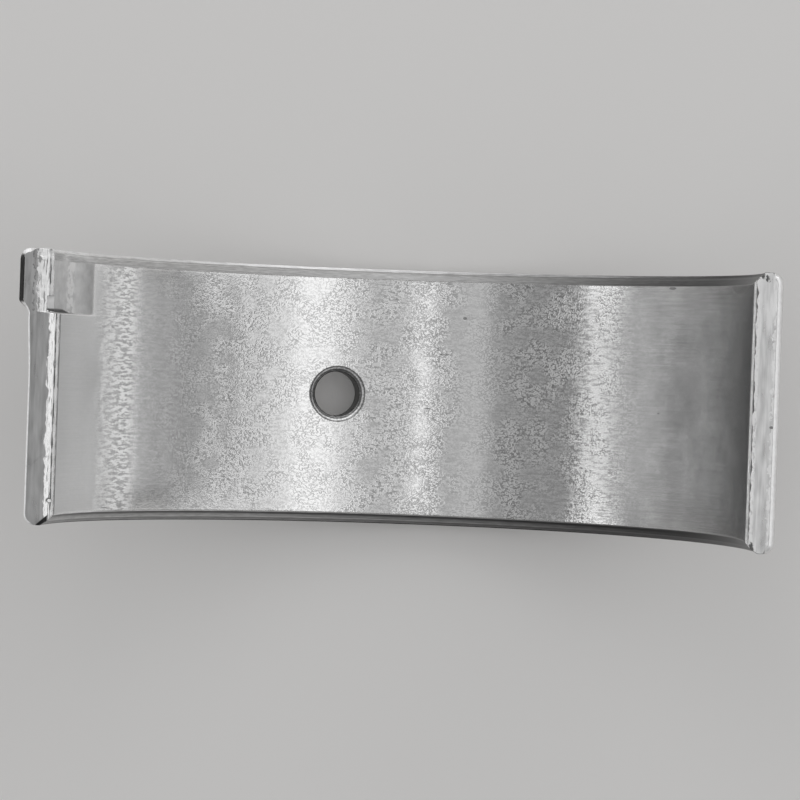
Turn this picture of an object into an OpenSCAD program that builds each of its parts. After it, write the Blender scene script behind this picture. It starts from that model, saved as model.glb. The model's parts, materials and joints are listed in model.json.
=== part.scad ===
// Half shell of a plain engine bearing: a roll-bonded strip of steel and soft lining, bent to a half
// circle, with a pressed locating lug at one end and one drilled oil hole.
// The origin is on the journal's axis, at mid-width, on the parting plane. +Y runs along the journal,
// +Z points out of the open side, and the lug stands at the -X end on the +Y side.

/* [Shell] */
// Outside diameter of the steel back, which seats in the housing
back_d = 54; // [48:0.5:64]
// Wall from the bore to the back
wall = 2.1; // [1.8:0.1:3]
// Width along the journal
width = 20; // [14:0.5:30]

/* [Edges] */
// Chamfer at both edges of the bore, measured along the journal
chamfer_w = 0.8; // [0.3:0.1:1.2]
// Chamfer at both edges of the bore, measured into the wall
chamfer_h = 0.9; // [0.3:0.1:1.2]
// Rounding at both edges of the back
back_round = 0.8; // [0.2:0.1:1]
// Edge break where the bore meets the parting faces
parting_break = 0.3; // [0.1:0.05:0.5]

/* [Oil hole] */
// Diameter of the drilled hole
hole_d = 3.5; // [2:0.1:5]
// Angle of the hole from the crown, towards the lug
hole_angle = 16.25; // [0:0.25:40]
// Distance of the hole from mid-width
hole_y = 0.1; // [-3:0.1:3]
// Width of the deburred rim on the bore side
rim_w = 0.4; // [0.2:0.05:1]
// Depth of the deburred rim
rim_h = 0.3; // [0.1:0.05:0.8]

/* [Locating lug] */
// How far the lug stands out of the back at the parting face
lug_h = 0.95; // [0.4:0.05:1.4]
// Width of the lug at its foot, from the side face
lug_w = 4.7; // [3:0.1:7]
// Radius of the lug's outer face, as the die shaped it
lug_r = 18; // [14:0.5:22]
// Width of the shoulder that runs from the lug down to the back, for each mm of the lug's height
shoulder_slope = 1.05; // [1:0.05:1.6]
// Bevel along the lug's outer end
lug_bevel = 0.35; // [0.1:0.05:0.5]
// Depth of the recess behind the lug, at the parting face
recess_h = 0.55; // [0.3:0.05:1]
// Width of the recess, from the side face
recess_w = 4.6; // [3:0.1:7]
// Radius of the punch that pressed the recess
punch_r = 18; // [14:0.5:22]

/* [Hidden] */
$fn = 96;

back_r = back_d / 2;
bore_r = back_r - wall;
half_w = width / 2;
// Cutters run past the faces that they cut by this much
lap = 1;

// The punch's axis and the axis of the lug's face are parallel to the journal's, in the parting plane
punch_x = punch_r - bore_r - recess_h;
lug_x = lug_r - back_r - lug_h;
lug_foot_r = lug_r - lug_h;
lug_foot_y = half_w - lug_w;
// Pressing draws the back's rounded edge tighter over the lug
lug_round = 0.8 * back_round;
shoulder_w = shoulder_slope * lug_h;
// Radius of the two equal arcs that make the lug's shoulder
shoulder_r = (pow(lug_h, 2) + pow(shoulder_w, 2)) / (4 * lug_h);
// Angle at the axis of the lug's face where that face runs into the back
lug_end = acos((pow(back_r, 2) - pow(lug_x, 2) - pow(lug_r, 2)) / (2 * abs(lug_x) * lug_r));
// The lug's solid ends inside the wall, this many degrees further on
lug_lap = 3;
// The bent strip runs past both parting faces by this angle, until they are cut
end_stock = 3;

// Square block from radius a to radius b, from y0 to y1 along the journal
module block(a, b, y0, y1) {
    translate([a, y0]) square([b - a, y1 - y0]);
}

// Wall from radius a to radius b up to the side face at y1, with its outer corner there rounded
module rounded_wall(a, b, y0, y1, round_r) {
    block(a, b, y0, y1 - round_r);
    block(a, b - round_r, y0, y1);
    translate([b - round_r, y1 - round_r]) circle(round_r);
}

// Cross-section of one half of the width: chamfered bore edge, rounded back edge
module half_section() {
    difference() {
        rounded_wall(bore_r, back_r, 0, half_w, back_round);
        polygon([
            [bore_r - chamfer_h, half_w - 2 * chamfer_w],
            [bore_r + 2 * chamfer_h, half_w + chamfer_w],
            [bore_r - chamfer_h, half_w + chamfer_w]
        ]);
    }
}

// Strip bent to a little more than a half circle, before its ends are cut
module half_ring() {
    rotate([-90, -end_stock, 0]) rotate_extrude(angle = 180 + 2 * end_stock) {
        half_section();
        mirror([0, 1]) half_section();
    }
}

// Cross-section of the lug, with an S-shaped shoulder that comes off the back and meets the lug's face
module lug_section() {
    inner_r = lug_foot_r - wall;
    rounded_wall(inner_r, lug_r, lug_foot_y + shoulder_w, half_w, lug_round);
    block(inner_r, lug_foot_r, lug_foot_y, half_w - lug_round);
    translate([lug_r - shoulder_r, lug_foot_y + shoulder_w]) circle(shoulder_r);
    difference() {
        polygon([
            [lug_foot_r, lug_foot_y],
            [lug_foot_r + lug_h / 2, lug_foot_y + shoulder_w / 2],
            [lug_foot_r + lug_h / 2, lug_foot_y + shoulder_w],
            [lug_foot_r, lug_foot_y + shoulder_w]
        ]);
        translate([lug_foot_r + shoulder_r, lug_foot_y]) circle(shoulder_r);
    }
}

// The wall behind the recess, pressed out past the back. Its inner side ends within the bent strip's wall
module lug() {
    difference() {
        translate([lug_x, 0, 0]) rotate([-90, 180 - lug_end - lug_lap, 0])
            rotate_extrude(angle = lug_end + lug_lap + end_stock) lug_section();
        rotate([90, 0, 0]) cylinder(h = 2 * width, r = bore_r + wall / 4, center = true);
    }
}

// Space that the punch leaves in the bore
module recess() {
    translate([punch_x, half_w - recess_w, 0]) rotate([-90, 0, 0]) cylinder(h = recess_w + lap, r = punch_r);
}

// Cuts both parting faces in one plane
module parting_cut() {
    translate([-back_d, -width, 0]) cube([2 * back_d, 2 * width, back_d]);
}

// Drilled radially, then deburred from the bore side
module oil_hole() {
    translate([0, hole_y, 0]) rotate([0, hole_angle - 180, 0]) {
        cylinder(h = back_r + lap, d = hole_d);
        rotate_extrude() polygon([
            [0, bore_r - rim_h],
            [hole_d / 2 + 2 * rim_w, bore_r - rim_h],
            [hole_d / 2, bore_r + rim_h],
            [0, bore_r + rim_h]
        ]);
    }
}

// Takes off the edge at x = edge_x, z = 0, where the wall lies on the +X side
module edge_break(edge_x, size, y0, y1) {
    translate([edge_x + size / 2, y0, -size / 2]) rotate([0, 45, 0])
        translate([-4 * size, 0, -2 * size]) cube([4 * size, y1 - y0, 4 * size]);
}

module bearing_shell() {
    color("silver") difference() {
        union() {
            half_ring();
            lug();
        }
        parting_cut();
        recess();
        oil_hole();
        // Bore edges of the two parting faces, and of the recess
        edge_break(bore_r, parting_break, -half_w - lap, half_w + lap);
        mirror([1, 0, 0]) edge_break(bore_r, parting_break, -half_w - lap, half_w - recess_w);
        mirror([1, 0, 0]) edge_break(bore_r + recess_h, parting_break, half_w - recess_w, half_w + lap);
        // Outer end of the lug
        edge_break(lug_x - lug_r, lug_bevel, lug_foot_y, half_w + lap);
    }
}

bearing_shell();
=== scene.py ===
import json
import math

import bmesh
import bpy
from mathutils import Matrix, Vector


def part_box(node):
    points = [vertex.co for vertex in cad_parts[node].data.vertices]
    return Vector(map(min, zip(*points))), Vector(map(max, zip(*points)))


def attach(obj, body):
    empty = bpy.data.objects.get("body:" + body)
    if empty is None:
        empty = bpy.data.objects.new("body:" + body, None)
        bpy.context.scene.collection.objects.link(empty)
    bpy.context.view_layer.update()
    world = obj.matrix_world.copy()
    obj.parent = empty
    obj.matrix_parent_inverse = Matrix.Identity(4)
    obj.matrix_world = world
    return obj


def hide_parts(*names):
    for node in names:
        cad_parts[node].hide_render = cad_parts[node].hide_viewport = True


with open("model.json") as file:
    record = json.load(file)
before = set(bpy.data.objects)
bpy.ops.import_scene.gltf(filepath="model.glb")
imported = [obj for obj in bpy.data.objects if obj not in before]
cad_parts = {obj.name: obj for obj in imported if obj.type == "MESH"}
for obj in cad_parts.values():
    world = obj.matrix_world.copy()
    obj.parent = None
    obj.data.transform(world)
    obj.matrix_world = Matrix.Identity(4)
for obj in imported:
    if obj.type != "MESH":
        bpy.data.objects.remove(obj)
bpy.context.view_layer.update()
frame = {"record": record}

# Bearing shell: a strip of steel with a thin soft lining rolled onto it, blanked to length, bent to a
# half circle and bored. A punch has pressed a locating lug out of one corner, and one oil hole is
# drilled through the wall and deburred from the bore side.
MM = 0.001
mounts = {mount["name"]: mount for mount in frame["record"]["mounts"]}
shell_low, shell_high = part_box("bearing_shell")
bore_r = mounts["journal_seat"]["dims"]["r_mm"] * MM
back_r = -shell_low[2]
half_w = shell_high[1]
wall = back_r - bore_r
lug_h = -shell_low[0] - back_r
chamfer_w = half_w - mounts["journal_seat"]["dims"]["length_mm"] * MM / 2
chamfer_h = 0.9 * MM
back_round = 0.8 * MM


class Field:
    """A value in a node tree. Arithmetic on it adds Math nodes to the same tree."""

    def __init__(self, socket):
        self.socket = socket

    def __add__(self, other):
        return calc("ADD", self, other)

    def __radd__(self, other):
        return calc("ADD", other, self)

    def __sub__(self, other):
        return calc("SUBTRACT", self, other)

    def __rsub__(self, other):
        return calc("SUBTRACT", other, self)

    def __mul__(self, other):
        return calc("MULTIPLY", self, other)

    def __rmul__(self, other):
        return calc("MULTIPLY", other, self)

    def __truediv__(self, other):
        return calc("DIVIDE", self, other)

    def __neg__(self):
        return calc("MULTIPLY", self, -1.0)


def grow(tree, kind, settings=None, sockets=None):
    """Adds a node: its settings first, then the values or links of its sockets."""
    node = tree.nodes.new(kind)
    for name, value in (settings or {}).items():
        if name == "stops":
            for _ in range(len(value) - 2):
                node.color_ramp.elements.new(0.5)
            for stop, (place, shade) in zip(node.color_ramp.elements, value):
                stop.position = place
                stop.color = (shade, shade, shade, 1.0)
        else:
            setattr(node, name, value)
    for key, value in (sockets or {}).items():
        for one in value if isinstance(value, list) else [value]:
            if isinstance(one, Field):
                tree.links.new(one.socket, node.inputs[key])
            else:
                node.inputs[key].default_value = one
    return node


def out(node, key=0):
    """One output of a node."""
    return Field(node.outputs[key])


def calc(operation, *terms):
    """A Math node on fields and numbers."""
    tree = next(term.socket.id_data for term in terms if isinstance(term, Field))
    return out(grow(tree, "ShaderNodeMath", {"operation": operation}, dict(enumerate(terms))))


def ramp(value, low, high, smooth=True):
    """Runs from 0 where the value is low to 1 where it is high."""
    how = {"interpolation_type": "SMOOTHSTEP" if smooth else "LINEAR"}
    ends = {"Value": value, "From Min": low, "From Max": high}
    return out(grow(value.socket.id_data, "ShaderNodeMapRange", how, ends))


def blend(low, high, share):
    """From low to high as the share runs from 0 to 1."""
    return low + (high - low) * share


def rounded_outline(corners, steps):
    """Points along a closed outline. A corner is (across, along, rounding), and steps(a, b) splits the
    straight from a to b."""
    points = []
    count = len(corners)
    for i, (x, y, rounding) in enumerate(corners):
        here = Vector((x, y))
        before = (Vector(corners[i - 1][:2]) - here).normalized()
        after = (Vector(corners[(i + 1) % count][:2]) - here).normalized()
        half = before.angle(after) / 2
        reach = rounding / math.tan(half)
        start = here + before * reach
        if points:
            points += steps(points[-1], start)
        arc = math.pi - 2 * half
        centre = here + (before + after).normalized() * (rounding / math.sin(half))
        pieces = max(3, round(math.degrees(arc) / 12))
        first = start - centre
        turn = arc if before.x * after.y - before.y * after.x < 0 else -arc
        for k in range(pieces + 1):
            angle = turn * k / pieces
            spoke = Vector((
                first.x * math.cos(angle) - first.y * math.sin(angle),
                first.x * math.sin(angle) + first.y * math.cos(angle),
            ))
            points.append(centre + spoke)
    return points + steps(points[-1], points[0])


lug_w = 4.7 * MM
shoulder_w = 1.05 * lug_h
recess_w = 4.6 * MM
lining = 0.45 * MM
bore_step = 0.13 * MM
back_step = 0.25 * MM
fine_step = 0.06 * MM
fine_from = half_w - lug_w - 0.35 * MM
fine_to = half_w - lug_w + shoulder_w + 0.5 * MM


def section_steps(a, b):
    """Points between a and b, close together where the lug's and the recess's walls cross the section."""
    points = []
    length = (b - a).length
    travelled = 0.0
    while True:
        along = a.lerp(b, travelled / length)
        crossing = fine_from <= along.y <= fine_to and abs(b.y - a.y) > wall
        coarse_step = bore_step if a.x < bore_r + lining else back_step
        travelled += fine_step if crossing else min(coarse_step, length / 5)
        if travelled > length - fine_step / 2:
            return points
        points.append(a.lerp(b, travelled / length))


def half_corners(side):
    """The section's corners on one side of mid-width, from the bore to the back. The chamfer's lining and
    steel meet in a slight ridge, because the softer lining was cut back further. On the lug's side a narrow
    land is rubbed onto its outer edge."""
    share = lining / chamfer_h
    ridge = 0.05 * MM
    land = 0.17 * MM
    edge = [(bore_r + chamfer_h, side * half_w, 0.12 * MM)]
    if side > 0:
        edge_r = bore_r + chamfer_h * (1 - land / chamfer_w)
        edge = [(edge_r, half_w - land, 0.05 * MM), (edge_r + 0.03 * MM, half_w, 0.09 * MM)]
    return [
        (bore_r, side * (half_w - chamfer_w), 0.09 * MM),
        (bore_r + lining - ridge, side * (half_w - chamfer_w * (1 - share) + ridge), 0.06 * MM),
        *edge,
        (back_r, side * half_w, back_round),
    ]


outline = rounded_outline(half_corners(-1)[::-1] + half_corners(1), section_steps)
section_curve = bpy.data.curves.new("strip_section", "CURVE")
section_spline = section_curve.splines.new("POLY")
section_spline.points.add(len(outline) - 1)
for point, place in zip(section_spline.points, reversed(outline)):
    point.co = (place.y, back_r - place.x, 0.0, 1.0)
section_spline.use_cyclic_u = True
section = bpy.data.objects.new("strip_section", section_curve)
bpy.context.scene.collection.objects.link(section)

shell_tree = bpy.data.node_groups.new("bent strip", "GeometryNodeTree")
shell_tree.interface.new_socket("Shell", in_out="OUTPUT", socket_type="NodeSocketGeometry")
shell_metal = bpy.data.materials.new("bimetal_strip")
shell_sizes = {
    "Section": section,
    "Metal": shell_metal,
    "Steps around": 200,
    "End gathering": 0.9,
    "Bore radius": bore_r,
    "Back radius": back_r,
    "Half width": half_w,
    "Chamfer height": chamfer_h,
    "Back rounding": back_round,
    "Punch radius": 18.0 * MM,
    "Recess depth": 0.55 * MM,
    "Lug radius": 18.0 * MM,
    "Lug height": lug_h,
    "Lug width": lug_w,
    "Drag": 0.16 * MM,
    "Drag reach": 4.5 * MM,
    "Shoulder width": shoulder_w,
    "Recess width": recess_w,
    "Recess wall run": 0.07 * MM,
    "Side edge": 0.04 * MM,
    "Lug end edge": 0.15 * MM,
    "Lug top edge": 0.3 * MM,
    "Edge slope": 0.6,
    "Plain end edge": 0.45 * MM,
    "Parting break": 0.3 * MM,
    "Lip width": 0.42 * MM,
    "Lip depth": 0.18 * MM,
    "Lug lip spread": 1.7,
    "Tear width": 0.42 * MM,
    "Tear depth": 0.8 * MM,
    "Tear length": 1.25 * MM,
    "Lug bevel": 0.45 * MM,
    "Hole radius": mounts["oil_hole"]["dims"]["r_mm"] * MM,
    "Hole angle": math.atan2(mounts["oil_hole"]["axis"][0], mounts["oil_hole"]["axis"][2]) + math.pi,
    "Hole offset": mounts["oil_hole"]["pos_m"][1],
    "Rim width": 0.4 * MM,
    "Rim depth": 0.3 * MM,
    "Hole sides": 96,
}
socket_kinds = {float: "NodeSocketFloat", int: "NodeSocketInt"}
socket_kinds[bpy.types.Object] = "NodeSocketObject"
socket_kinds[bpy.types.Material] = "NodeSocketMaterial"
shell_ids = {}
for name, value in shell_sizes.items():
    kind = socket_kinds[type(value)]
    shell_ids[name] = shell_tree.interface.new_socket(name, in_out="INPUT", socket_type=kind).identifier
size_sockets = grow(shell_tree, "NodeGroupInput").outputs
size_of = {socket.name: Field(socket) for socket in size_sockets if socket.name}


def xyz(tree, x, y, z):
    """A vector from three fields or numbers."""
    return out(grow(tree, "ShaderNodeCombineXYZ", sockets={"X": x, "Y": y, "Z": z}))


def place_parts(tree):
    """The position in a geometry tree as three fields."""
    split = grow(tree, "ShaderNodeSeparateXYZ", sockets={0: out(grow(tree, "GeometryNodeInputPosition"))})
    return [out(split, axis) for axis in "XYZ"]


def moved(geometry, place=None, offset=None):
    """The geometry with its points set to a place, or moved by an offset."""
    sockets = {"Geometry": geometry}
    if place:
        sockets["Position"] = place
    if offset:
        sockets["Offset"] = offset
    return out(grow(geometry.socket.id_data, "GeometryNodeSetPosition", sockets=sockets))


# The strip's path: a half circle whose points gather towards the two parting faces.
line = out(grow(shell_tree, "GeometryNodeCurvePrimitiveLine"))
path = out(grow(shell_tree, "GeometryNodeResampleCurve", sockets={
    "Curve": line,
    "Count": size_of["Steps around"],
}))
share = out(grow(shell_tree, "GeometryNodeSplineParameter"), "Factor")
gathered = share - size_of["End gathering"] * calc("SINE", share * 2 * math.pi) / (2 * math.pi)
turn = gathered * math.pi
path = moved(path, xyz(
    shell_tree,
    -calc("COSINE", turn) * size_of["Back radius"],
    0.0,
    -calc("SINE", turn) * size_of["Back radius"],
))
path = out(grow(shell_tree, "GeometryNodeSetCurveNormal", {"mode": "FREE"}, {
    "Curve": path,
    "Normal": (0.0, 1.0, 0.0),
}))
section_info = grow(shell_tree, "GeometryNodeObjectInfo", sockets={"Object": size_of["Section"]})
strip = out(grow(shell_tree, "GeometryNodeCurveToMesh", sockets={
    "Curve": path,
    "Profile Curve": out(section_info, "Geometry"),
}))

# The punch presses a recess into the bore, and the wall behind it flows out to the lug. It drags the back
# beside it along a little, next to the parting face.
x, y, z = place_parts(shell_tree)
r = calc("SQRT", x * x + z * z)
level = -x / r


def round_about(arm, radius):
    """Distance from the journal's axis to a cylinder whose axis lies an arm's length towards the lug."""
    return arm * level + calc("SQRT", radius * radius - arm * arm * (1.0 - level * level))


recess_floor = round_about(
    size_of["Bore radius"] + size_of["Recess depth"] - size_of["Punch radius"],
    size_of["Punch radius"],
)
lug_face = round_about(
    size_of["Back radius"] + size_of["Lug height"] - size_of["Lug radius"],
    size_of["Lug radius"],
)
recess_y = size_of["Half width"] - size_of["Recess width"]
in_recess = ramp(y, recess_y - size_of["Recess wall run"], recess_y + size_of["Recess wall run"])
recess_h = calc("MAXIMUM", recess_floor - size_of["Bore radius"], 0.0) * in_recess
lug_y = size_of["Half width"] - size_of["Lug width"]
on_lug = ramp(y, lug_y, lug_y + size_of["Shoulder width"])
drag = size_of["Drag"] * ramp(y, lug_y - size_of["Drag reach"], lug_y)
drag = drag * ramp(-z, size_of["Drag reach"], 0.0) * calc("LESS_THAN", x, 0.0)
pressed_out = blend(drag, calc("MAXIMUM", lug_face - size_of["Back radius"], 0.0), on_lug)
towards_back = ramp(
    r,
    size_of["Bore radius"] + size_of["Chamfer height"],
    size_of["Back radius"] - size_of["Back rounding"],
    smooth=False,
)
pressed_r = r + pressed_out * towards_back
pressed_r = pressed_r + calc("MAXIMUM", size_of["Bore radius"] + recess_h - pressed_r, 0.0)
strip = moved(strip, xyz(shell_tree, x * pressed_r / r, y, z * pressed_r / r))

# Both ends are cut flat in one plane. The bore's edge is broken, and at the lug's end the soft lining is
# torn to an uneven lip beside it. The lug's outer end is bevelled, and the other edges are rounded.
inner_r = size_of["Bore radius"] + recess_h
outer_r = size_of["Back radius"] + pressed_out
through = (r - inner_r) / (outer_r - inner_r)
lug_side = calc("LESS_THAN", x, 0.0)
depth = -z
wobble = out(grow(shell_tree, "ShaderNodeTexNoise", {"noise_dimensions": "1D"}, {
    "W": y / MM,
    "Scale": 0.9,
    "Detail": 4.0,
    "Roughness": 0.55,
}))
spread = blend(1.0, size_of["Lug lip spread"], in_recess)
lip_depth = size_of["Lip depth"] * (0.6 + 0.4 * spread) * lug_side + 0.002 * MM
lip_w = size_of["Lip width"] * spread * (0.5 + wobble) * lug_side
lip = lip_w * calc("MAXIMUM", 1.0 - depth / lip_depth, 0.0)
breaking = (0.2 + 1.6 * wobble) * size_of["Parting break"] - calc("MAXIMUM", depth - lip_depth, 0.0)
tear_run = 0.06 * MM
tear_start = recess_y + 0.1 * MM
tear_end = recess_y + size_of["Tear length"]
tear = ramp(y, tear_start, tear_start + tear_run) * ramp(y, tear_end, tear_end - tear_run)
tear = tear * size_of["Tear width"] * lug_side
tear = tear * ramp(depth, size_of["Tear depth"], 0.9 * size_of["Tear depth"])
edge_r = calc("MAXIMUM", inner_r + lip + calc("MAXIMUM", breaking, 0.0), inner_r + tear)
squeezed = 0.03
cut_r = calc("MAXIMUM", r, edge_r + squeezed * (r - inner_r))
facing = out(grow(shell_tree, "GeometryNodeInputNormal"))
normal = grow(shell_tree, "ShaderNodeSeparateXYZ", sockets={0: facing})
outer_part = ramp(through, 0.6, 0.8)
edge = blend(size_of["Side edge"], size_of["Plain end edge"], outer_part)
near_end = calc("MAXIMUM", 1.0 - depth / edge, 0.0)
inset = edge * (1.0 - calc("SQRT", calc("MAXIMUM", 1.0 - near_end * near_end, 0.0)))
top_side = on_lug * ramp(through, 0.5, 0.65) * ramp(out(normal, "Y"), 0.2, 0.8)
sloped = blend(size_of["Side edge"], size_of["Lug end edge"], outer_part)
sloped = blend(sloped, size_of["Lug top edge"], top_side)
sloped_inset = calc("MAXIMUM", sloped - depth / size_of["Edge slope"], 0.0)
lug_end = on_lug * ramp(through, 0.55, 0.8) * (1.0 - top_side)
sloped_inset = blend(sloped_inset, calc("MAXIMUM", size_of["Lug bevel"] - depth, 0.0), lug_end)
inset_run = 0.15 * MM
inset = blend(inset, sloped_inset, lug_side) * ramp(r, edge_r, edge_r + inset_run)
inwards = xyz(shell_tree, -inset * out(normal, "X"), -inset * out(normal, "Y"), 0.0)
cut_depth = 0.006 * MM
flat_z = z * calc("GREATER_THAN", depth, cut_depth)
strip = moved(strip, xyz(shell_tree, x * cut_r / r, y, flat_z * cut_r / r), inwards)
open_edge = out(grow(shell_tree, "GeometryNodeInputMeshEdgeNeighbors"))
rims = out(grow(shell_tree, "GeometryNodeMeshToCurve", sockets={
    "Mesh": strip,
    "Selection": calc("LESS_THAN", open_edge, 1.5),
}))
faces = out(grow(shell_tree, "GeometryNodeFillCurve", {"mode": "NGONS"}, {"Curve": rims}))
strip = out(grow(shell_tree, "GeometryNodeJoinGeometry", sockets={0: [strip, faces]}))
strip = out(grow(shell_tree, "GeometryNodeMergeByDistance", sockets={
    "Geometry": strip,
    "Distance": 0.0005 * MM,
}))

# The drill and the deburring tool come along the hole's axis.
drill = out(grow(shell_tree, "GeometryNodeMeshCylinder", sockets={
    "Vertices": size_of["Hole sides"],
    "Radius": size_of["Hole radius"],
    "Depth": size_of["Back radius"],
}))
drill = moved(drill, offset=xyz(shell_tree, 0.0, size_of["Hole offset"], -size_of["Back radius"]))
deburr = out(grow(shell_tree, "GeometryNodeMeshCone", sockets={
    "Vertices": size_of["Hole sides"],
    "Radius Bottom": size_of["Hole radius"],
    "Radius Top": size_of["Hole radius"] + 2.0 * size_of["Rim width"],
    "Depth": 2.0 * size_of["Rim depth"],
}))
deburr = moved(deburr, offset=xyz(
    shell_tree,
    0.0,
    size_of["Hole offset"],
    -size_of["Bore radius"] - size_of["Rim depth"],
))
aim = xyz(shell_tree, 0.0, size_of["Hole angle"], 0.0)
tools = [out(grow(shell_tree, "GeometryNodeTransform", sockets={"Geometry": tool, "Rotation": aim}))
         for tool in (drill, deburr)]
strip = out(grow(shell_tree, "GeometryNodeMeshBoolean", {"operation": "DIFFERENCE", "solver": "MANIFOLD"}, {
    "Mesh 1": strip,
    "Mesh 2": tools,
}))

strip = out(grow(shell_tree, "GeometryNodeRealizeInstances", sockets={"Geometry": strip}))
strip = out(grow(shell_tree, "GeometryNodeSetMaterial", sockets={
    "Geometry": strip,
    "Material": size_of["Metal"],
}))
grow(shell_tree, "NodeGroupOutput", sockets={"Shell": strip})


def built_by(tree, name, sizes, identifiers, material):
    """A plain mesh object made by a geometry tree, with faces outwards and sharp edges marked."""
    piece = bpy.data.objects.new(name, bpy.data.meshes.new(name))
    bpy.context.scene.collection.objects.link(piece)
    maker = piece.modifiers.new(name, "NODES")
    maker.node_group = tree
    for size, value in sizes.items():
        maker[identifiers[size]] = value
    bpy.context.view_layer.update()
    mesh = bpy.data.meshes.new_from_object(piece.evaluated_get(bpy.context.evaluated_depsgraph_get()))
    piece.modifiers.clear()
    piece.data = mesh
    weld_gap = 0.0003 * MM
    solid = bmesh.new()
    solid.from_mesh(mesh)
    bmesh.ops.remove_doubles(solid, verts=solid.verts, dist=weld_gap)
    bmesh.ops.recalc_face_normals(solid, faces=solid.faces)
    for face in solid.faces:
        face.material_index = 0
    solid.to_mesh(mesh)
    solid.free()
    mesh.materials.clear()
    mesh.materials.append(material)
    sharp_angle = math.radians(24)
    mesh.shade_smooth()
    mesh.set_sharp_from_angle(angle=sharp_angle)
    return piece


shell = built_by(shell_tree, "shell", shell_sizes, shell_ids, shell_metal)
bpy.data.objects.remove(section)
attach(shell, "root")
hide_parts("bearing_shell")

# Finish of the strip, in one material: where each finish lies follows from the place on the shell. Lengths
# are in mm, and turn is in degrees from the lug's parting face.
shell_metal.use_nodes = True
metal = shell_metal.node_tree
places = grow(metal, "ShaderNodeSeparateXYZ", sockets={0: out(grow(metal, "ShaderNodeTexCoord"), "Object")})
x, y, z = [out(places, axis) / MM for axis in "XYZ"]
r = calc("SQRT", x * x + z * z)
turn = calc("ARCTAN2", -z, -x) * (180 / math.pi)
bore_mm = bore_r / MM
arc = turn * math.radians(bore_mm)


def band(value, low, high, soft):
    """1 where the value lies between low and high, with soft ends."""
    return ramp(value, low - soft, low + soft) * ramp(value, high + soft, high - soft)


def noise(a, b, detail=2.0, roughness=0.5, seed=0.0):
    """Noise from 0 to 1 whose features are about as long as one step of a and b."""
    place = xyz(metal, a + 17.0 * seed, b, 0.0)
    how = {"Vector": place, "Scale": 1.0, "Detail": detail, "Roughness": roughness}
    return out(grow(metal, "ShaderNodeTexNoise", {"noise_dimensions": "2D"}, how))


depth = -z
lug_half = calc("LESS_THAN", x, 0.0)
recess_side = (half_w - recess_w) / MM
in_recess = ramp(y, recess_side - 0.07, recess_side + 0.05) * lug_half
across = r - bore_mm - shell_sizes["Recess depth"] / MM * in_recess
on_face = ramp(depth, 0.02, 0.008)
near_end = ramp(depth, 0.6, 0.5)
on_bore = ramp(r, bore_mm + 0.07, bore_mm + 0.03)
side = calc("ABSOLUTE", y)
top_half = ramp(y, -0.5, 0.5)
chamfer_side = (half_w - chamfer_w) / MM
down_chamfer = (r - bore_mm) / (chamfer_h / MM)
on_chamfer = ramp(side, chamfer_side - 0.04, chamfer_side + 0.02) * ramp(depth, 0.1, 0.4)
on_chamfer = on_chamfer * ramp(r, bore_mm + 1.0, bore_mm + 0.9)
from_chamfer = chamfer_side + (r - bore_mm) * (chamfer_w / chamfer_h) - side
on_back = ramp(r, bore_mm + 1.05, bore_mm + 1.15) * (1.0 - on_face)
hole_angle = shell_sizes["Hole angle"]
hole_gap = x * math.cos(hole_angle) - z * math.sin(hole_angle)
hole_off = y - shell_sizes["Hole offset"] / MM
from_hole = calc("SQRT", hole_gap * hole_gap + hole_off * hole_off)


def spot(a, b, place, long, wide):
    """1 inside an ellipse about a place in a and b."""
    off_a = (a - place[0]) / long
    off_b = (b - place[1]) / wide
    return ramp(off_a * off_a + off_b * off_b, 1.3, 0.6)


def profile(value, stops):
    """A value read off a line through (place, height) pairs, for places from 0 to 180."""
    share = value / 180.0
    pairs = [(place / 180.0, height) for place, height in stops]
    return out(grow(metal, "ShaderNodeValToRGB", {"stops": pairs}, {"Fac": share}))


# Bored lining: a maze of fine grain that the cutter drew out a little, worn smooth towards both ends.
patches = noise(arc * 0.45, y * 0.5, seed=7.0)
amount = profile(turn, [
    (0, 0.03), (19, 0.05), (24, 0.25), (30, 0.25), (34, 0.1), (42, 0.45), (52, 0.95), (85, 1.1),
    (92, 1.15), (97, 0.4), (102, 0.6), (105, 1.2), (118, 1.15), (123, 1.15), (129, 0.25), (140, 0.08),
    (180, 0.06),
]) * (0.4 + 1.1 * ramp(patches, 0.36, 0.62))
worn_smooth = band(turn, 109.0, 118.0, 3.0) * ramp(y, -1.0, -7.0)
amount = amount * (1.0 - 0.6 * worn_smooth)
grain = calc("SINE", noise(arc * 2.4, y * 3.4, detail=1.5, roughness=0.6) * 20.0)
drawn = ramp(noise(arc * 1.1, y * 4.6, roughness=0.6, seed=15.0), 0.4, 0.6) - 0.5
drawing = profile(turn, [
    (0, 0.02), (20, 0.05), (25, 1.0), (28, 1.5), (30, 1.3), (32, 0.2), (48, 0.25), (95, 0.2), (116, 0.35),
    (120, 0.9), (124, 0.9), (128, 0.3), (133, 0.14), (150, 0.12), (180, 0.1),
])
tool_lines = noise(arc * 0.14, y * 14.0, detail=1.0, seed=4.0) - 0.5
tool_lines = tool_lines * (0.3 + 0.7 * ramp(turn, 100.0, 135.0))

# The wall is relieved towards the lug's end. The slope of the relief rises at once and then fades.
relief_start = 19.0
relief_end = 32.0
relief_depth = 0.22
uneven_turn = turn + 5.0 * (patches - 0.5) + 0.4 * drawn
relieved = ramp(uneven_turn, relief_start, relief_end, smooth=False)
relief = relief_depth * relieved * relieved * (6.0 - 8.0 * relieved + 3.0 * relieved * relieved)

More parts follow.
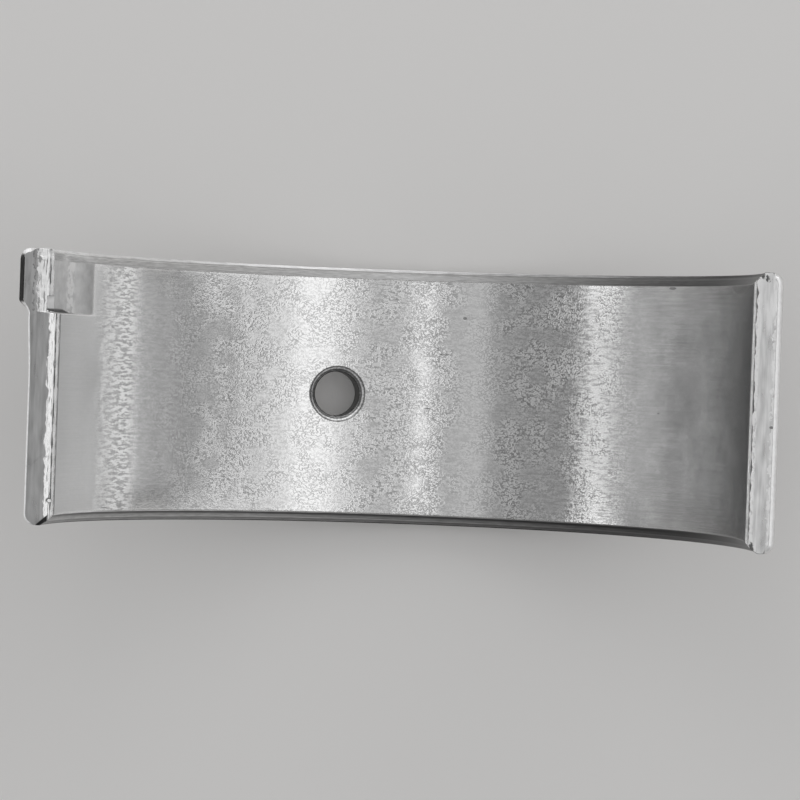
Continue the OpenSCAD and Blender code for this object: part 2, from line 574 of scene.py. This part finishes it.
# Height and tone of the bore, and how rough and how metallic it is around the half circle. The tone along
# the half circle is painted reflection and shade: lighter where bands of light reflect, near 22 to 30 and
# 120 to 124 degrees, darker between them, and falling steeply towards the plain end as painted shade.
grain_height = 0.0025
tool_line_height = 0.0015
bore_height = (grain * amount + drawn * drawing) * grain_height + tool_lines * tool_line_height + relief
mottling = 0.35 * amount + 0.45 * ramp(turn, 126.0, 140.0)
bore_tone_and_painted_light = 1.02 + mottling * (patches - 0.5) + 0.32 * tool_lines
bore_tone_and_painted_light = bore_tone_and_painted_light + grain * amount * 0.3 + drawn * drawing * 0.5
# Painted reflection and shade around the half circle, on top of the lining's own grain and tone.
bore_tone_and_painted_light = bore_tone_and_painted_light * profile(turn, [
    (0, 0.94), (21, 0.95), (23, 0.96), (30, 0.96), (33, 0.82), (38, 0.74), (43, 0.8), (48, 0.95),
    (60, 0.92), (78, 0.9), (84, 0.83), (90, 0.88), (94, 0.82), (99, 0.9), (103, 0.8), (117, 0.67),
    (119.5, 0.72), (121.5, 0.98), (123.5, 0.98), (126, 0.76), (132, 0.7), (176, 0.28), (180, 0.26),
])
bore_rough = profile(turn, [
    (0, 0.27), (18, 0.22), (26, 0.12), (30, 0.12), (126, 0.14), (134, 0.25), (180, 0.27),
])
bore_sheen = profile(turn, [
    (0, 0.5), (18, 0.5), (22, 0.6), (24, 0.56), (27, 0.42), (30, 0.5), (33, 0.95), (38, 0.9), (46, 0.64),
    (51, 0.44), (54, 0.62), (58, 1.0), (180, 1.0),
])

# Small pits and scratches that the bore has from use.
pits = spot(turn, y, (164.5, 8.95), 4.0, 0.45) * 0.4
for place, long, wide in (
    ((96.4, 6.34), 0.4, 0.12), ((92.8, 3.46), 1.1, 0.04), ((90.0, -0.83), 0.5, 0.05),
    ((139.8, 9.02), 0.9, 0.1), ((137.1, -0.47), 0.25, 0.07), ((23.6, -8.96), 0.9, 0.04),
):
    pits = calc("MAXIMUM", pits, spot(turn, y, place, long, wide))
pit_tone = 0.2
pit_depth = 0.015
bore_tone_and_painted_light = blend(bore_tone_and_painted_light, pit_tone, pits * 0.7)
bore_height = bore_height - pit_depth * pits

tone = bore_tone_and_painted_light
rough = bore_rough
height = bore_height

# Recess that the punch left: duller, with a painted reflection on its floor, a lighter band that turns
# darker towards the recess's end, and painted shade in a dark line along the base of its side wall.
pressed = noise(turn * 0.5, y * 1.3, roughness=0.6, seed=5.0)
# Painted reflection: a lighter band across the floor, and darker towards the recess's end.
recess_tone_and_painted_light = 0.8 + 0.3 * (pressed - 0.5) - 0.26 * ramp(turn, 12.0, 17.5)
recess_tone_and_painted_light = recess_tone_and_painted_light + 0.3 * band(turn, 8.6, 11.2, 1.0) * ramp(pressed, 0.36, 0.56)
# Painted shade: a dark line along the base of the recess's side wall, widest beside the parting face.
foot_shade_w = 0.26 * ramp(turn, 10.0, 6.0) + 0.03
foot_painted_shade = ramp(y, recess_side + 0.07 + foot_shade_w, recess_side + 0.04 + foot_shade_w * 0.6) * ramp(turn, 14.0, 8.0)
recess_tone_and_painted_light = blend(recess_tone_and_painted_light, 0.12, foot_painted_shade)
recess_end = 18.65
recess = in_recess * ramp(r, bore_mm + 0.03, bore_mm + 0.07)
recess = recess * ramp(turn, recess_end + 0.15, recess_end - 0.15)
tone = blend(tone, recess_tone_and_painted_light, recess)
rough = blend(rough, 0.36, recess)
height = height * (1.0 - recess)

# Bore-edge chamfers: the lining over the steel. Their tones are painted light: painted highlight lines
# along the bore's edge and the ridge, the top chamfer lit with a white outer edge, the bottom chamfer in
# painted shade with a black outer edge, and both painted darker towards the plain end.
scuffs = noise(arc * 0.9, y * 9.0, roughness=0.6, seed=6.0)
chamfer_places = down_chamfer * 180.0
# Painted light across each chamfer from the bore's edge outwards: highlight lines, lit bands and painted
# shade.
upper_painted_light = profile(chamfer_places, [
    (0, 0.8), (12, 0.5), (30, 0.62), (78, 0.62), (90, 0.85), (104, 0.55), (130, 0.62), (140, 0.98),
    (180, 1.0),
])
lower_painted_light = profile(chamfer_places, [
    (0, 0.95), (9, 0.8), (16, 0.1), (34, 0.16), (52, 0.4), (86, 0.5), (92, 0.7), (100, 0.3), (140, 0.22),
    (150, 0.5), (160, 0.05), (180, 0.04),
])
chamfer_tone_and_painted_light = blend(lower_painted_light, upper_painted_light, top_half) * (0.6 + 0.8 * scuffs)
# Painted shade: both chamfers darker towards the plain end.
chamfer_tone_and_painted_light = chamfer_tone_and_painted_light * blend(
    profile(turn, [(0, 1.0), (60, 0.9), (95, 0.6), (120, 0.25), (145, 0.05), (180, 0.02)]),
    profile(turn, [(0, 1.0), (85, 0.9), (105, 0.65), (130, 0.28), (152, 0.09), (180, 0.05)]),
    top_half,
)
tone = blend(tone, chamfer_tone_and_painted_light, on_chamfer)
rough = blend(rough, 0.34, on_chamfer)
height = height * (1.0 - on_chamfer)

# Steel back: drawn satin steel with lines along the strip and a few rubbed patches.
back_lines = noise(arc * 0.12, y * 11.0, detail=1.0, seed=8.0)
rubbed = noise(arc * 0.25, y * 0.3, roughness=0.6, seed=9.0)
back_tone = 0.5 + 0.12 * (back_lines - 0.5) + 0.3 * (rubbed - 0.5)
tone = blend(tone, back_tone, on_back)
rough = blend(rough, 0.34 + 0.2 * (rubbed - 0.5), on_back)
height = height * (1.0 - on_back)

# Parting faces: blanked and ground along the journal. The soft lining is smeared over the lug's end, with
# painted shade in a dark band between the beads beside the smear.
streaks = noise(x * 5.0, y * 0.25, roughness=0.65)
smears = noise(x * 2.2, y * 0.45, detail=1.0, roughness=0.6, seed=3.0)
flecks = noise(x * 4.0, y * 2.2, roughness=0.65, seed=10.0)
wave = (noise(y * 0.8, 0.0, detail=3.0, roughness=0.6, seed=12.0) - 0.5) * 0.5
smear_edge = across + wave + 0.5 * (flecks - 0.5)
lug_face_tone = 0.44 + 0.3 * (smears - 0.5) + 0.12 * (streaks - 0.5)
smeared = in_recess * ramp(smear_edge, 1.2, 1.05) * ramp(flecks, 0.4, 0.5)
lug_face_tone = blend(lug_face_tone, 0.95, smeared)
# Painted shade between the beads beside the smear.
painted_shade_beside_smear = in_recess * band(smear_edge, 1.26, 1.36, 0.05) * ramp(flecks, 0.56, 0.46)
lug_face_tone = blend(lug_face_tone, 0.2, painted_shade_beside_smear)
plain_face_tone = 0.8 + 0.5 * (smears - 0.5) + 0.4 * (streaks - 0.5) + 0.12 * ramp(y, 3.0, 8.0)
bright_inside = ramp(across + wave * 0.4, 0.6, 0.45) * ramp(flecks, 0.36, 0.46)
plain_face_tone = blend(plain_face_tone, 1.0, bright_inside)
bright_outside = ramp(across + wave + 0.9 * (flecks - 0.5), 1.5, 1.62)
plain_face_tone = blend(plain_face_tone, 1.0, bright_outside)
plain_face_tone = blend(plain_face_tone, 0.3, spot(x, y, (26.5, -1.0), 0.15, 0.1))
for place, long, wide in (
    ((25.25, -9.55), 0.35, 0.4), ((25.45, 9.7), 0.5, 0.2), ((25.95, 9.5), 0.25, 0.2),
):
    chipped = spot(x, y, place, long, wide) * ramp(flecks, 0.42, 0.58)
    plain_face_tone = blend(plain_face_tone, 0.15, chipped)
face_tone = blend(plain_face_tone, lug_face_tone, lug_half)
face_height = streaks * 0.008 + smears * 0.012 + flecks * 0.012 * (1.0 - lug_half * (1.0 - in_recess))
tone = blend(tone, face_tone, on_face)
rough = blend(rough, 0.3 + 0.14 * (smears - 0.5), on_face)
height = blend(height, face_height, on_face)

# Torn lip and broken edge of the lining at the lug's end, and the broken edge at the plain end. The dark
# lines beside the lip and along the bore behind the lug's end are painted shade in the furrows there.
off_face = near_end * (1.0 - on_face)
torn = noise((across - depth) * 8.0, y * 0.7, roughness=0.6, seed=13.0)
on_lip = off_face * lug_half * ramp(across, 0.24, 0.3) * ramp(across, 1.45, 1.4)
on_strip = off_face * ramp(across, 0.3, 0.24) * ramp(r, bore_mm + 0.03, bore_mm + 0.06)
lip_tone = blend(1.0, 0.25, ramp(torn, 0.57, 0.67))
strip_tone = 0.85 * (0.5 + torn)
line_off = calc("ABSOLUTE", across - 0.24 + wave * 0.16)
# Painted shade: a dark wavy line where the lip or the broken edge meets the thin strip at the bore's edge.
groove_line_shade_tone = blend(0.5, 0.14, lug_half)
line = ramp(line_off, 0.07, 0.03) * (0.35 + 0.65 * ramp(wave, -0.08, 0.02))
strip_tone = blend(strip_tone, groove_line_shade_tone, line)
tone = blend(tone, lip_tone, on_lip)
tone = blend(tone, strip_tone, on_strip)
nodule = lug_half * near_end * spot(across, y, (0.28, -8.2), 0.15, 0.13)
tone = blend(tone, 0.2, lug_half * near_end * spot(across, y, (0.33, -8.15), 0.2, 0.18))
tone = blend(tone, 1.0, nodule)
# Painted shade in a dark band on the bore behind the lug's end.
painted_groove_shade = lug_half * on_bore * band(depth, 0.45, 0.78, 0.06)
tone = blend(tone, 0.3, painted_groove_shade * ramp(torn, 0.25, 0.45))
rough = blend(rough, 0.24, on_lip + on_strip)
height = blend(height, torn * 0.014, on_lip + on_strip) + nodule * 0.04

# Outer edges of the ends: the lug's sheared bevel is painted near black as shade, and the others carry a
# painted highlight.
outer = off_face * ramp(across, 1.4, 1.5) * ramp(depth, 0.5, 0.42)
bevel_start = 6.1
bevel_end = 9.55
bevel = outer * lug_half * band(y, bevel_start, bevel_end, 0.12) * ramp(across, 1.75, 1.9)
# Painted highlight along the rounded outer edges.
tone = blend(tone, 0.94 + 0.3 * (flecks - 0.5), outer * ramp(depth, 0.4, 0.25))
# Painted shade on the lug's bevel.
tone = blend(tone, 0.02, bevel * ramp(depth, 0.02, 0.04))
rough = blend(rough, 0.3, outer)
height = blend(height, flecks * 0.03, outer)
# A black triangle is painted onto the bottom chamfer beside the lug's end.
black_mark = lug_half * (1.0 - top_half) * ramp(from_chamfer, 0.36, 0.26) * ramp(depth, 0.8, 0.5)
black_mark = black_mark * band(r, bore_mm + 0.35, bore_mm + 1.2, 0.1)
tone = blend(tone, 0.03, black_mark)

# Oil hole: the drilled wall with rings, painted near black as shade, and a deburred rim with painted
# highlight lines and dark lines of painted shade around it.
rings = noise(r * 6.0, 0.0, detail=1.0, seed=14.0)
hole_wall_painted_shade = 0.03 + 0.08 * rings
hole_mm = shell_sizes["Hole radius"] / MM
rim_mm = hole_mm + shell_sizes["Rim width"] / MM
in_hole = ramp(from_hole, hole_mm + 0.05, hole_mm + 0.02)
rim_places = 50.0
# Painted highlight and shade in rings across the deburred rim.
rim_painted_light = profile(from_hole * rim_places, [
    (0, 0.1), (89, 0.1), (91, 0.3), (95, 0.22), (97, 0.1), (99, 0.6), (101, 1.0), (103, 1.0), (105, 0.4),
    (107, 0.35), (109, 0.1), (111, 0.8), (180, 0.8),
])
on_rim = ramp(from_hole, rim_mm + 0.09, rim_mm + 0.05) * (1.0 - in_hole)
tone = blend(tone, rim_painted_light * (1.0 + 0.3 * grain), on_rim)
tone = blend(tone, hole_wall_painted_shade, in_hole)
rough = blend(rough, 0.38, on_rim + in_hole)
height = height * (1.0 - in_hole)

shader = metal.nodes["Principled BSDF"]
sheen = blend(1.0, bore_sheen, on_bore)
sheen = blend(sheen, 0.6, recess)
bumped = out(grow(metal, "ShaderNodeBump", sockets={"Height": height, "Distance": MM}))
for socket, value in (("Base Color", tone), ("Roughness", rough), ("Metallic", sheen), ("Normal", bumped)):
    metal.links.new(value.socket, shader.inputs[socket])

# Table: a plain pale sheet, painted matt, that the shell lies on with its back. It is no part of the shell
# and only takes its shadow.
table_mesh = bpy.data.meshes.new("table")
reach = 1.5
corners = ((-reach, -reach), (reach, -reach), (reach, reach), (-reach, reach))
table_mesh.from_pydata([(*corner, -back_r) for corner in corners], [], [(0, 1, 2, 3)])
table = bpy.data.objects.new("table", table_mesh)
bpy.context.scene.collection.objects.link(table)
table_paint = bpy.data.materials.new("table_paint")
table_paint.use_nodes = True
paint = table_paint.node_tree.nodes["Principled BSDF"]
paint.inputs["Base Color"].default_value = (0.87, 0.86, 0.85, 1.0)
paint.inputs["Roughness"].default_value = 0.9
table_mesh.materials.append(table_paint)

# Studio: an even room light and soft boxes, long in the direction of the journal's axis. No two boxes stand
# at the same distance where they overlap, because then only one of them would show in the metal.
world = bpy.data.worlds.new("studio")
world.use_nodes = True
world.node_tree.nodes["Background"].inputs["Color"].default_value = (0.33, 0.33, 0.33, 1.0)
bpy.context.scene.world = world


def soft_box(name, lean, spread, glow, bearing=0, away=0.6, along=1.2, drift=0.0):
    """An area light that faces the shell. Lean is from overhead, bearing from +X and spread the angle it
    fills, all in degrees; away is its distance, and drift moves it along its length."""
    lamp = bpy.data.lights.new(name, "AREA")
    lamp.shape = "RECTANGLE"
    lamp.size = 2 * away * math.tan(math.radians(spread) / 2)
    lamp.size_y = along
    lamp.energy = glow * math.pi * lamp.size * lamp.size_y
    holder = bpy.data.objects.new(name, lamp)
    aim = Matrix.Rotation(math.radians(bearing), 4, "Z") @ Matrix.Rotation(math.radians(lean), 4, "Y")
    holder.matrix_world = aim @ Matrix.Translation((0.0, drift, away))
    bpy.context.scene.collection.objects.link(holder)


soft_box("key_wash", 40, 70, 0.15, away=0.66, drift=0.3)
soft_box("key_box", 38, 36, 0.2, away=0.63, drift=0.3)
soft_box("key_heart", 36, 16, 0.25, away=0.6, drift=0.3)
soft_box("side_wash", 74, 30, 0.28, away=0.69)
soft_box("top_panel", -10, 34, 0.14, away=0.63, drift=0.3)
soft_box("top_strip", -2.5, 6.5, 0.48, away=0.6, drift=0.3)
soft_box("left_fill", 70, 20, 0.6, bearing=180)
soft_box("back_fill", 68, 34, 0.9, bearing=90)

# Camera: nearly overhead, leaning a little to the plain end, with the shell turned slightly in the picture.
camera_data = bpy.data.cameras.new("camera")
camera_data.lens = 160.3
camera_data.clip_start = 0.01
camera = bpy.data.objects.new("camera", camera_data)
bpy.context.scene.collection.objects.link(camera)
camera_place = Vector((21.685, 2.266, 254.042)) * MM
backwards = camera_place.normalized()
picture_up = Vector((-0.0364, 0.9993, -0.006))
sideways = picture_up.cross(backwards).normalized()
picture_up = backwards.cross(sideways)
camera_turn = Matrix((sideways, picture_up, backwards)).transposed().to_4x4()
camera.matrix_world = Matrix.Translation(camera_place) @ camera_turn
bpy.context.scene.camera = camera
bpy.context.scene.view_settings.view_transform = "Standard"
